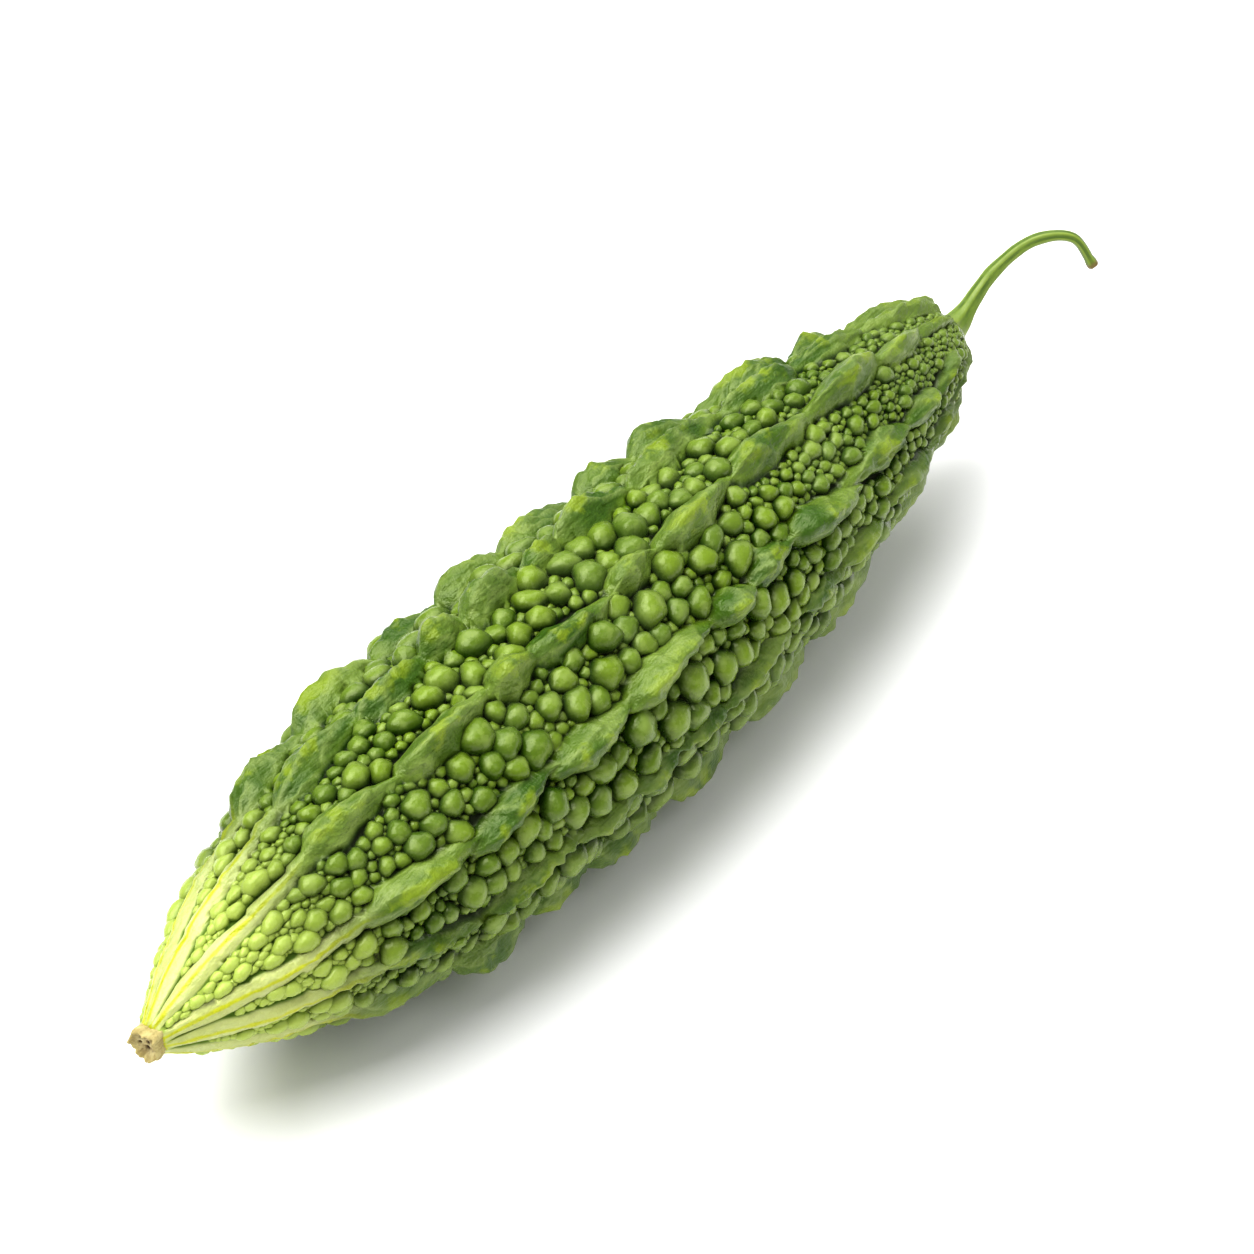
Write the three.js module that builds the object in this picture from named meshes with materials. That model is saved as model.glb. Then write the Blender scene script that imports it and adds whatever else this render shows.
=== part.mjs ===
// A bitter gourd as picked: a spindle-shaped fruit with ten rows of blunt fins, the cut stem that it hung
// from, and the dried remains of its flower. It lies on its side on the plane z = 0, with its length along
// X and the blossom end at -X. Millimetres, +Z up.
import * as THREE from "three";

// Fruit, from the flat of its blossom tip to the flat of its neck.
const FRUIT_LENGTH = 212;
const FRUIT_RADIUS = 23; // at the widest place, over the warts between the rows of fins
const WIDEST_AT = 0.43; // share of the length, from the blossom tip
const BLOSSOM_CURVE = [2.8, 1]; // towards an end the radius falls as (1 - away ** first) ** second,
const STEM_CURVE = [2, 0.7]; // where away runs from 0 at the widest place to 1 at that end
const TIP_RADIUS = 2.7;
const NECK_RADIUS = 3.6;
const SIDEWAYS_BEND = -2; // how far the middle of the fruit lies to one side of a straight line
const PRESSED_FLAT = 1.2; // how much of the lowest fins the fruit's weight has flattened

// Rows of fins. Each fin has its peak near the blossom end and a tail towards the stem, except that the
// last ones of a row, next to the stem, face the other way.
const FIN_ROWS = 10;
const FIN_LENGTH = 18.5;
const FIN_HEIGHT = 3.6;
const FIN_WIDTH = 7.4; // at its foot
const FIN_PEAK_AT = 0.34; // share of its own length
const FIN_POINTEDNESS = 1.3; // 1 gives a fin a rounded peak, and 2 a peak with hollow slopes
const FINS_TURN_AT = 0.72; // share of the fruit's length
const WEAK_ROWS = [2, 7]; // rows whose fins hardly stand out
const WEAK_SHARE = 0.45; // height of their fins, as a share of the others'
const FIN_SPREAD = 0.4; // lengths and heights differ by up to this share of themselves
const FIN_OVERLAP = 0.18; // the next fin may start up to this share before a tail ends
const FIRST_FIN_AT = 0.12; // shares of the fruit's length
const FIRST_FIN_SPREAD = 0.06;
const LAST_FIN_AT = 0.93;
const RIDGE_HEIGHT = 1.3; // of the low ridge that joins the fins of a row
const ROW_STRAYS = [0, 3, -2, 8, -3, -4, 2, 0, 1, -1]; // degrees that each row lies off its even place
const ROW_SWAY = 3; // degrees that a row wanders to either side along its length
const SWAYS_IN_LENGTH = 1.2;

// Stem, from the neck to the cut.
const STEM_REACH = 24.5; // away from the fruit, along its length
const STEM_RISE = 11.5; // of its middle line, above the neck
const STEM_TURN = 13.5; // to one side
const STEM_HOOK = 5.5; // that the cut end drops back
const NECK_EDGE = 0.3; // of the neck's flat that shows around the stem's base
const STEM_NECK_RADIUS = 1.6; // just past the flare
const STEM_CUT_RADIUS = 0.75;
const STEM_FLARE = 0.35; // share of the length over which the base narrows

// Dried flower remains on the blossom tip.
const SCAR_OVERHANG = 0.2; // of the remains past the edge of the blossom tip
const SCAR_THICKNESS = 2.4;
const SCAR_LOBES = 5;
const SCAR_LOBE_DEPTH = 0.4;
const SCAR_ROUNDNESS = 0.75; // 0 leaves its rim square, and 1 rounds it to a ball

const JOINT_GAP = 0.3; // between pieces that grow out of one another

// Mesh columns around a piece, and rings along it.
const COLUMNS_PER_ROW = 8;
const COLUMN_CROWDING = 1.5; // above 1, a row's columns crowd towards its crest
const FRUIT_RINGS = 68;
const STEM_COLUMNS = 12;
const STEM_RINGS = 20;
const SCAR_COLUMNS = 20;
const SCAR_RINGS = 9;

const ROW_PITCH = (2 * Math.PI) / FIN_ROWS;
const STEM_BASE_RADIUS = NECK_RADIUS - NECK_EDGE;
const SCAR_RADIUS = TIP_RADIUS + SCAR_OVERHANG;

// A repeatable number from 0 to 1 for any pair of whole numbers.
function scatter(a, b) {
  const wave = Math.sin(a * 127.1 + b * 311.7) * 43758.5453;
  return wave - Math.floor(wave);
}

// A repeatable factor about 1, for the fin's length or height that choice names.
function finFactor(row, n, choice) {
  return 1 + FIN_SPREAD * (2 * scatter(row, n + 40 * choice) - 1);
}

// The fruit's radius between its rows, at a share s of its length.
function fruitRadius(s) {
  const towardsStem = s > WIDEST_AT;
  const endRadius = towardsStem ? NECK_RADIUS : TIP_RADIUS;
  const [shoulder, fullness] = towardsStem ? STEM_CURVE : BLOSSOM_CURVE;
  const reach = towardsStem ? 1 - WIDEST_AT : WIDEST_AT;
  const away = Math.min(1, Math.abs(s - WIDEST_AT) / reach);
  return endRadius + (FRUIT_RADIUS - endRadius) * (1 - away ** shoulder) ** fullness;
}

// The fins of one row, as where each starts, how long and how high it is, in millimetres, and the share of
// its length where it is highest.
function finsOfRow(row) {
  const fins = [];
  let start = (FIRST_FIN_AT + FIRST_FIN_SPREAD * scatter(row, 0)) * FRUIT_LENGTH;
  while (start < LAST_FIN_AT * FRUIT_LENGTH) {
    const n = fins.length + 1;
    const slimness = fruitRadius(start / FRUIT_LENGTH) / FRUIT_RADIUS;
    const length = FIN_LENGTH * finFactor(row, n, 0);
    const strength = WEAK_ROWS.includes(row) ? WEAK_SHARE : 1;
    const height = FIN_HEIGHT * slimness * strength * finFactor(row, n, 1);
    const turned = start > FINS_TURN_AT * FRUIT_LENGTH;
    fins.push({ start, length, height, peakAt: turned ? 1 - FIN_PEAK_AT : FIN_PEAK_AT });
    start += length * (1 - FIN_OVERLAP * scatter(row, n + 80));
  }
  return fins;
}

const ROWS = Array.from({ length: FIN_ROWS }, (_, row) => finsOfRow(row));

// A fin's height along its own length, as a share of its peak: a steep side and a long tail.
function finProfile(share, peakAt) {
  if (share <= 0 || share >= 1) return 0;
  const fromPeak = share - peakAt;
  const reach = fromPeak < 0 ? peakAt : 1 - peakAt;
  return Math.cos(((Math.PI / 2) * fromPeak) / reach) ** FIN_POINTEDNESS;
}

// How high the skin stands above fruitRadius at length x, at a distance aside from the middle of a row.
function finHeight(row, x, aside) {
  const ends = Math.sqrt(Math.sin(Math.PI * THREE.MathUtils.clamp(x / FRUIT_LENGTH, 0, 1)));
  const foot = Math.min(1, Math.abs(aside) / (FIN_WIDTH / 2));
  const tallest = Math.max(
    0,
    ...ROWS[row].map((fin) => fin.height * finProfile((x - fin.start) / fin.length, fin.peakAt)),
  );
  return (1 - foot * foot) * (RIDGE_HEIGHT * ends + tallest);
}

// How far a row lies from its even place around the fruit, at a share s of the length.
function rowSway(row, s) {
  const stray = ROW_STRAYS[row % ROW_STRAYS.length];
  const turns = SWAYS_IN_LENGTH * s + scatter(row, 200);
  return THREE.MathUtils.degToRad(stray + ROW_SWAY * Math.sin(2 * Math.PI * turns));
}

// The fruit's surface at a share s of its length and at a place around it, counted in rows: a whole
// number and a half is the crest of a row. Angles run from straight down, and roll turns them all.
function fruitPoint(s, around, roll) {
  const row = Math.floor(around) % FIN_ROWS;
  const offset = around - Math.floor(around) - 0.5;
  const neighbour = (row + (offset < 0 ? FIN_ROWS - 1 : 1)) % FIN_ROWS;
  const away = Math.abs(offset);
  const sway = rowSway(row, s) * (1 - away) + rowSway(neighbour, s) * away;
  const angle = ROW_PITCH * around + sway + roll;
  const x = s * FRUIT_LENGTH;
  const radius = fruitRadius(s);
  const reach = radius + finHeight(row, x, offset * ROW_PITCH * radius);
  const bend = SIDEWAYS_BEND * (1 - (2 * s - 1) ** 2);
  return new THREE.Vector3(x, bend + reach * Math.sin(angle), -reach * Math.cos(angle));
}

// The lowest point of a row's crest, measured from the fruit's axis.
function lowestOfRow(row, roll) {
  const rings = Array.from({ length: FRUIT_RINGS + 1 }, (_, ring) => ring / FRUIT_RINGS);
  return Math.min(...rings.map((s) => fruitPoint(s, row + 0.5, roll).z));
}

// The roll that brings the rows on both sides of straight down to one height, found by halving.
function restingRoll() {
  let low = -ROW_PITCH / 4;
  let high = ROW_PITCH / 4;
  for (let halving = 0; halving < 30; halving++) {
    const roll = (low + high) / 2;
    if (lowestOfRow(0, roll) < lowestOfRow(FIN_ROWS - 1, roll)) low = roll;
    else high = roll;
  }
  return (low + high) / 2;
}

const ROLL = restingRoll();
const AXIS_HEIGHT = -lowestOfRow(0, ROLL) - PRESSED_FLAT;
const TIP = new THREE.Vector3(0, 0, AXIS_HEIGHT);
const NECK = new THREE.Vector3(FRUIT_LENGTH, 0, AXIS_HEIGHT);

// Moves the points of a closed ball so that each lies where place(along, around) says, with along and
// around from 0 to 1. Its two poles become the middles of two flat ends. Seen along its length, the shape
// runs round clockwise, so the ball's columns are taken in reverse to keep its faces pointing out.
function shapedBall(columns, rings, place) {
  const ball = new THREE.SphereGeometry(1, columns, rings);
  const { position, uv } = ball.attributes;
  for (let i = 0; i < position.count; i++) {
    const ring = Math.round((1 - uv.getY(i)) * rings);
    const onAxis = ring === 0 || ring === rings;
    const along = (THREE.MathUtils.clamp(ring, 1, rings - 1) - 1) / (rings - 2);
    const column = onAxis ? 0 : Math.round((1 - uv.getX(i)) * columns) % columns;
    const point = place(along, column / columns, onAxis);
    position.setXYZ(i, point.x, point.y, point.z);
  }
  ball.deleteAttribute("uv");
  ball.computeVertexNormals();
  return ball;
}

// Crowds the mesh columns towards the crest of their row, where the fins are.
function crowdedColumn(share) {
  const around = share * FIN_ROWS;
  const offset = around - Math.floor(around) - 0.5;
  return Math.floor(around) + 0.5 + (Math.sign(offset) * Math.abs(2 * offset) ** COLUMN_CROWDING) / 2;
}

function fruitGeometry() {
  return shapedBall(FIN_ROWS * COLUMNS_PER_ROW, FRUIT_RINGS, (along, around, onAxis) => {
    if (onAxis) return along ? NECK : TIP;
    const point = fruitPoint(along, crowdedColumn(around), ROLL);
    point.z = Math.max(0, point.z + AXIS_HEIGHT);
    return point;
  });
}

// The stem leaves the neck along the fruit's length, lifts, turns to one side and hooks down.
function stemRoute() {
  return new THREE.CatmullRomCurve3([
    new THREE.Vector3(0, 0, 0),
    new THREE.Vector3(0.12 * STEM_REACH, 0, 0.05 * STEM_RISE),
    new THREE.Vector3(0.5 * STEM_REACH, -0.08 * STEM_TURN, 0.58 * STEM_RISE),
    new THREE.Vector3(0.78 * STEM_REACH, -0.35 * STEM_TURN, 0.94 * STEM_RISE),
    new THREE.Vector3(0.95 * STEM_REACH, -0.72 * STEM_TURN, 0.96 * STEM_RISE),
    new THREE.Vector3(STEM_REACH, -STEM_TURN, STEM_RISE - STEM_HOOK),
  ]);
}

// A round section carried along the route, wide at the neck and thin at the cut. Its two end sections
// face along X and along the route.
function stemGeometry() {
  const route = stemRoute();
  const frames = route.computeFrenetFrames(STEM_RINGS, false);
  const start = NECK.clone().add(new THREE.Vector3(JOINT_GAP, 0, 0));
  return shapedBall(STEM_COLUMNS, STEM_RINGS + 2, (along, around, onAxis) => {
    const centre = route.getPointAt(along).add(start);
    if (onAxis) return centre;
    const ring = Math.round(along * STEM_RINGS);
    const flare = Math.max(0, 1 - along / STEM_FLARE) ** 2;
    const slim = THREE.MathUtils.lerp(STEM_NECK_RADIUS, STEM_CUT_RADIUS, along);
    const radius = slim + (STEM_BASE_RADIUS - STEM_NECK_RADIUS) * flare;
    const angle = 2 * Math.PI * around;
    const point = centre
      .addScaledVector(frames.normals[ring], radius * Math.cos(angle))
      .addScaledVector(frames.binormals[ring], radius * Math.sin(angle));
    if (ring === 0) point.x = start.x;
    return point;
  });
}

// A lobed button with rounded edges, its back face towards the blossom tip.
function scarGeometry() {
  const back = TIP.clone().sub(new THREE.Vector3(JOINT_GAP, 0, 0));
  return shapedBall(SCAR_COLUMNS, SCAR_RINGS, (along, around, onAxis) => {
    const angle = 2 * Math.PI * around;
    const lobes = SCAR_RADIUS + SCAR_LOBE_DEPTH * Math.cos(SCAR_LOBES * angle);
    const rim = Math.sqrt(1 - SCAR_ROUNDNESS * (2 * along - 1) ** 2);
    const radius = onAxis ? 0 : lobes * rim;
    const across = new THREE.Vector3(0, radius * Math.sin(angle), -radius * Math.cos(angle));
    across.x = -SCAR_THICKNESS * (1 - along);
    return across.add(back);
  });
}

function piece(name, geometry, color, roughness) {
  const material = new THREE.MeshStandardMaterial({ color, roughness, metalness: 0 });
  const mesh = new THREE.Mesh(geometry, material);
  mesh.name = name;
  return mesh;
}

const gourd = new THREE.Group();
gourd.add(piece("fruit", fruitGeometry(), 0x4a7a26, 0.4));
gourd.add(piece("stem", stemGeometry(), 0x7f9a3c, 0.5));
gourd.add(piece("blossom_scar", scarGeometry(), 0xa88650, 0.85));

// The origin is on the resting plane, under the middle of the whole gourd.
const extent = new THREE.Box3().setFromObject(gourd);
const middle = extent.getCenter(new THREE.Vector3());
gourd.position.set(-middle.x, -middle.y, -extent.min.z);

export default gourd;
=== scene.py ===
"""A picked bitter gourd on a pale floor: a warty fruit with ten rows of blunt fins, the curled stem that it
hung from, and the dried remains of its flower. Every surface is worked out as whole arrays, in millimetres
from the middle of the fruit's blossom tip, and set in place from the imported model's boxes."""

import bpy
import numpy as np
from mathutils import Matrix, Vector


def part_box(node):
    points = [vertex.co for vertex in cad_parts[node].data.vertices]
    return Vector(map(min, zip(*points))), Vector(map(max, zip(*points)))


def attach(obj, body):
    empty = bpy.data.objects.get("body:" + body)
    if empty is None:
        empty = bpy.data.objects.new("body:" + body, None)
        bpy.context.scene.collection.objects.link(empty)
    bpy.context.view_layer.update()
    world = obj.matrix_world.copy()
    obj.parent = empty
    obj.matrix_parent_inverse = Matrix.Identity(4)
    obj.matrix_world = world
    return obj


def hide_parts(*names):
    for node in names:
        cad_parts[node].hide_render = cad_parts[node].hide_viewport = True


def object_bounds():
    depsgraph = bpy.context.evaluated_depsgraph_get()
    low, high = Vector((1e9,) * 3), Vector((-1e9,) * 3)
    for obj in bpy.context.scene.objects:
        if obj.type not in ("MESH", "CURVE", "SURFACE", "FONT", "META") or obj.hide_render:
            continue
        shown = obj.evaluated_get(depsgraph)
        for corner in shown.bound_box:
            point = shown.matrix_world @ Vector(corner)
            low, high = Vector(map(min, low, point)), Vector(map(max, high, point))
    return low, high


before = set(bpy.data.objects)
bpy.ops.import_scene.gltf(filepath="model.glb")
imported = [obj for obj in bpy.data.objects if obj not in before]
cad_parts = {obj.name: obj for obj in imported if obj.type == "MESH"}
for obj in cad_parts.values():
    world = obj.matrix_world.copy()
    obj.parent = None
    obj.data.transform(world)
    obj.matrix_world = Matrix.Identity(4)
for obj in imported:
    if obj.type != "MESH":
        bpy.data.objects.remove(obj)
cad_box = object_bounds()

MM = 0.001

# The fruit's own shape, with the sizes that its solid has.
FRUIT_LENGTH = 212.0
FRUIT_RADIUS = 23.0
WIDEST_AT = 0.43
BLOSSOM_CURVE = (2.8, 1.0)
STEM_CURVE = (2.0, 0.7)
TIP_RADIUS = 2.7
NECK_RADIUS = 3.6
SIDEWAYS_BEND = -2.0
PRESSED_FLAT = 1.2
FLOOR_CLEARANCE = 0.02

FIN_ROWS = 10
FIN_LENGTH = 18.5
FIN_HEIGHT = 3.6
FIN_WIDTH = 7.4
FIN_PEAK_AT = 0.34
FIN_POINTEDNESS = 1.3
FINS_TURN_AT = 0.72
WEAK_ROWS = (2, 7)
WEAK_SHARE = 0.45
FIN_SPREAD = 0.4
FIN_OVERLAP = 0.18
FIRST_FIN_AT = 0.12
FIRST_FIN_SPREAD = 0.06
LAST_FIN_AT = 0.93
RIDGE_HEIGHT = 1.3
ROW_STRAYS = (0, 3, -2, 8, -3, -4, 2, 0, 1, -1)
ROW_SWAY = 3.0
SWAYS_IN_LENGTH = 1.2
ROW_PITCH = 2 * np.pi / FIN_ROWS
SOLID_RINGS = 68

# Warts between the rows: how many are tried at each radius, from the largest to the smallest.
WART_TRIES = ((3.0, 300), (2.6, 1600), (2.2, 4000), (1.9, 6000), (1.5, 9000))
WART_SPACING = 0.83  # of two touching warts, as a share of their radii together
WART_CLEAR = 0.15  # of a wart's middle beyond the foot of a fin, as a share of the wart's radius
FILLER_MOST = 1.35  # radius of the warts that fill the holes, at the widest place
FILLER_MOST_AT_ENDS = 0.7
FILLER_LEAST = 0.42
FILLER_STEP = 0.35  # between the places where a filler may stand
WART_DEPTH = 2.1  # of the creases at the widest place
WART_LEAN = 0.16  # towards the blossom end, as a share of height
BALL_TURN = np.radians(112)  # from a wart's top to its foot, round its own middle
LANES = 4  # that warts line up in near the stem end, between two rows
WART_ENDS = (2.0, 2.5)  # bare lengths of skin at the tip and at the neck
FILLER_ENDS = (2.5, 2.0)
WART_STRETCH = 0.2  # most that a wart is longer than it is wide
TIP_STRETCH = 0.5  # added to that at the blossom tip
STEM_STRETCH = 0.15  # and towards the stem
WART_REACH = 1.3  # how far past its foot a wart's corners and slant may carry it
SKIN_SEED = 11

# Fins and the ridges between them. A section is (1 - across ** first) ** second.
FIN_SECTION = (1.45, 0.8)
RIDGE_SECTION = (1.8, 0.8)
FIN_SLOPES = (0.7, 1.25)  # powers of a fin's height on its blunt side and along its tail
FIN_OUTLINE = (0.45, 1.0)  # powers of its width on the same sides
FIN_TAIL = 0.28  # width of a fin's ends, as a share of its width at the peak
FIN_MOST_OF_PITCH = 0.66  # width of a fin as a share of the room that its row has
WEAK_WIDTH = 0.7  # width of a weak row's fins, as a share of the others'
RIB_HALF_WIDTH = 2.2  # most of the pale ribs near the blossom tip
WAIST_HALF_WIDTH = 1.0  # most of the ridge between two fins
RIBS_END_AT = 0.25  # share of the fruit's length

# Heights of the skin's unevenness.
VEIN_HEIGHT = 0.3  # raised lines along the fins
LUMP_HEIGHT = 0.27  # on the warts
CRUMPLE_HEIGHT = 0.24  # on the fins
SWELL_HEIGHT = 0.3  # of the whole skin

# Stem and flower remains.
STEM_REACH = 24.5
STEM_RISE = 11.5
STEM_TURN = 13.5
STEM_HOOK = 5.5
STEM_BASE_RADIUS = 3.3
STEM_NECK_RADIUS = 1.6
STEM_CUT_RADIUS = 0.75
STEM_FLARE = 0.35
STEM_RIBS = 5
STEM_RIB_DEPTH = 0.055  # share of the radius
STEM_CUT_SWELLING = 0.22
STEM_CUT_RADII = (0.93, 0.72, 0.4)  # of the rings that dish the cut, as shares of the stem's radius
STEM_CUT_DEPTHS = (0.1, -0.02, -0.16)  # of the same rings, along the stem
STEM_SUNK = 1.6  # of the stem's start inside the neck
SCAR_RADIUS = 2.9
SCAR_PROFILE = (  # shares of the radius, and millimetres from the blossom tip, below zero away from the fruit
    (0.06, -0.95),
    (0.3, -0.9),
    (0.55, -1.1),
    (0.78, -1.75),
    (0.9, -2.15),
    (0.99, -1.85),
    (1.02, -1.2),
    (0.98, -0.5),
    (0.94, 0.1),
    (0.9, 0.9),
)
SCAR_PORES = (  # across, up, and radius
    (1.0, 0.8, 0.4),
    (-0.9, 1.0, 0.36),
    (0.1, -1.1, 0.42),
    (-1.5, -0.5, 0.3),
    (1.5, -0.5, 0.28),
    (0, 0.1, 0.3),
)
PORE_DEPTH = 0.7

# Mesh sizes.
FRUIT_STATIONS = 1180
COLUMNS_PER_ROW = 72
MOST_TRIANGLES = 198000
STEM_RINGS = 180
STEM_COLUMNS = 60
SCAR_RINGS = 64
SCAR_COLUMNS = 120

BELOW_ALL = -9.0  # height where a fin or ridge isn't

# The stage, in metres, degrees and watts.
FLOOR_HALF = 1.3
ROOM_LIGHT = 0.55  # of the room's walls as a lamp
ROOM_SEEN = 1.0  # of the same walls behind the gourd
CAMERA_AZIMUTH = -53
CAMERA_ELEVATION = 42
CAMERA_DISTANCE = 1.0
CAMERA_LENS = 176
LAMPS = (  # name, azimuth, elevation, distance, size and watts
    ("key", -128, 66, 1.4, 1.2, 31),
    ("back", 130, 60, 1.5, 1.2, 15),
    ("fill", 0, 50, 1.6, 0.9, 4),
)
PICTURE_GAMMA = 0.9


def scatter(a, b):
    """The fractional part of a large multiple of a sine: a repeatable number from 0 to 1."""
    wave = np.sin(a * 127.1 + b * 311.7) * 43758.5453
    return wave - np.floor(wave)


def fin_factor(row, n, choice):
    """One plus or minus up to the fin spread, for the length or height that choice names."""
    return 1 + FIN_SPREAD * (2 * scatter(row, n + 40 * choice) - 1)


def smooth(low, high, x):
    """Rises from 0 at low to 1 at high, flat at both."""
    t = np.clip((x - low) / (high - low), 0, 1)
    return t * t * (3 - 2 * t)


def fruit_radius(s):
    """End radius plus the rest times (1 - away ** shoulder) ** fullness, away from the widest place."""
    s = np.asarray(s, float)
    to_stem = s > WIDEST_AT
    end = np.where(to_stem, NECK_RADIUS, TIP_RADIUS)
    shoulder = np.where(to_stem, STEM_CURVE[0], BLOSSOM_CURVE[0])
    fullness = np.where(to_stem, STEM_CURVE[1], BLOSSOM_CURVE[1])
    reach = np.where(to_stem, 1 - WIDEST_AT, WIDEST_AT)
    away = np.minimum(1, np.abs(s - WIDEST_AT) / reach)
    return end + (FRUIT_RADIUS - end) * (1 - away**shoulder) ** fullness


def fins_of_row(row):
    """Where each fin of a row starts, its length, its height and the share of its length where it is highest.
    They are laid one after another with overlaps, and the last ones face the other way."""
    fins = []
    start = (FIRST_FIN_AT + FIRST_FIN_SPREAD * scatter(row, 0)) * FRUIT_LENGTH
    while start < LAST_FIN_AT * FRUIT_LENGTH:
        n = len(fins) + 1
        slimness = float(fruit_radius(start / FRUIT_LENGTH)) / FRUIT_RADIUS
        length = FIN_LENGTH * fin_factor(row, n, 0)
        strength = WEAK_SHARE if row in WEAK_ROWS else 1
        height = FIN_HEIGHT * slimness * strength * fin_factor(row, n, 1)
        turned = start > FINS_TURN_AT * FRUIT_LENGTH
        fins.append((start, length, height, 1 - FIN_PEAK_AT if turned else FIN_PEAK_AT))
        start += length * (1 - FIN_OVERLAP * scatter(row, n + 80))
    return fins


ROWS = [fins_of_row(row) for row in range(FIN_ROWS)]


def fin_profile(share, peak_at, power):
    """A fin's height along its own length: half cosines with a short side and a long tail, to a power."""
    from_peak = share - peak_at
    reach = np.where(from_peak < 0, peak_at, 1 - peak_at)
    inside = (share > 0) & (share < 1)
    return np.where(inside, np.cos(np.pi / 2 * np.clip(from_peak / reach, -1, 1)) ** power, 0)


def row_sway(row, s):
    """How far a row lies from its even place: a step of its own, and a slow sine along the fruit."""
    stray = np.array(ROW_STRAYS)[row]
    return np.radians(stray + ROW_SWAY * np.sin(2 * np.pi * (SWAYS_IN_LENGTH * s + scatter(row, 200))))


def pitch_beside(row, side, s):
    """The angle from a row to the next one on that side, where the rows have strayed and swayed."""
    other = np.where(side < 0, row + FIN_ROWS - 1, row + 1) % FIN_ROWS
    return ROW_PITCH + np.where(side < 0, -1, 1) * (row_sway(other, s) - row_sway(row, s))


def lowest_of_row(row, roll):
    """The lowest point of a row's crest on the solid, measured from the fruit's axis."""
    s = np.linspace(0, 1, SOLID_RINGS + 1)
    ends = np.sqrt(np.abs(np.sin(np.pi * s)))
    x = s * FRUIT_LENGTH
    fins = [h * fin_profile((x - start) / long, peak, FIN_POINTEDNESS) for start, long, h, peak in ROWS[row]]
    reach = fruit_radius(s) + RIDGE_HEIGHT * ends + np.max(fins, axis=0)
    return np.min(-reach * np.cos(ROW_PITCH * (row + 0.5) + row_sway(row, s) + roll))


def resting_roll():
    """The roll, found by halving, that brings the rows on both sides of straight down to one height."""
    low, high = -ROW_PITCH / 4, ROW_PITCH / 4
    for _ in range(30):
        roll = (low + high) / 2
        if lowest_of_row(0, roll) < lowest_of_row(FIN_ROWS - 1, roll):
            low = roll
        else:
            high = roll
    return (low + high) / 2


def even_stations(count):
    """Shares of the fruit's length that are evenly spaced along its curved outline, and those lengths."""
    s = 0.5 - 0.5 * np.cos(np.linspace(0, np.pi, 20001))
    step = np.hypot(np.diff(s) * FRUIT_LENGTH, np.diff(fruit_radius(s)))
    arc = np.concatenate([[0], np.cumsum(step)])
    even = np.linspace(0, arc[-1], count)
    return np.interp(even, arc, s), even


def ripple(along, around, waves, seed, most_along, most_around):
    """A sum of sines that run at random slants and close on themselves round the fruit, about -1 to 1."""
    rng = np.random.default_rng(seed)
    total = np.zeros(np.broadcast_shapes(along.shape, around.shape))
    for _ in range(waves):
        a = rng.uniform(-most_along, most_along)
        b = rng.integers(-most_around, most_around + 1)
        total += np.sin(2 * np.pi * (a * along + b * around / FIN_ROWS) + rng.uniform(0, 2 * np.pi))
    return total / np.sqrt(waves)


# ---------------------------------------------------------------- the fruit's skin


def wart_scale(s):
    """How large warts are along the fruit: small at both ends and full size near the middle."""
    places = (0, 0.06, 0.14, 0.24, 0.36, 0.54, 0.7, 0.85, 0.95, 1)
    return np.interp(s, places, (0.32, 0.42, 0.62, 0.82, 1, 1, 0.72, 0.5, 0.4, 0.32))


def ridge_half_width(s):
    """Half the width of the ridge that joins a row's fins: a broad rib near the tip, then a thin waist."""
    pitch = ROW_PITCH * fruit_radius(s)
    rib = np.minimum((0.5 - 0.15 * smooth(0.02, 0.1, s)) * pitch, RIB_HALF_WIDTH)
    waist = np.minimum(0.2 * pitch, WAIST_HALF_WIDTH)
    return rib + (waist - rib) * smooth(0.14, RIBS_END_AT, s)


def fin_slope(share, peak_at, blunt, drawn_out):
    """A fin's profile with one power on its short side, where it is blunt, and another along its tail."""
    short = share < peak_at if peak_at < 0.5 else share > peak_at
    return fin_profile(share, peak_at, np.where(short, blunt, drawn_out))


def fin_half_width(share, peak_at, pitch, strength):
    """Half the width of a fin at a share of its own length: widest at the peak, narrow at its ends."""
    full = FIN_TAIL + (1 - FIN_TAIL) * fin_slope(share, peak_at, *FIN_OUTLINE)
    return 0.5 * FIN_WIDTH * strength * full * np.minimum(1, FIN_MOST_OF_PITCH * pitch / FIN_WIDTH)


def rounded(across, first, second):
    """A section's height: (1 - across ** first) ** second, and 0 past its feet."""
    return np.clip(1 - np.abs(across) ** first, 0, 1) ** second


def fin_strength(row):
    """How wide a row's fins are beside the strongest rows' fins."""
    return WEAK_WIDTH if row in WEAK_ROWS else 1.0


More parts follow.
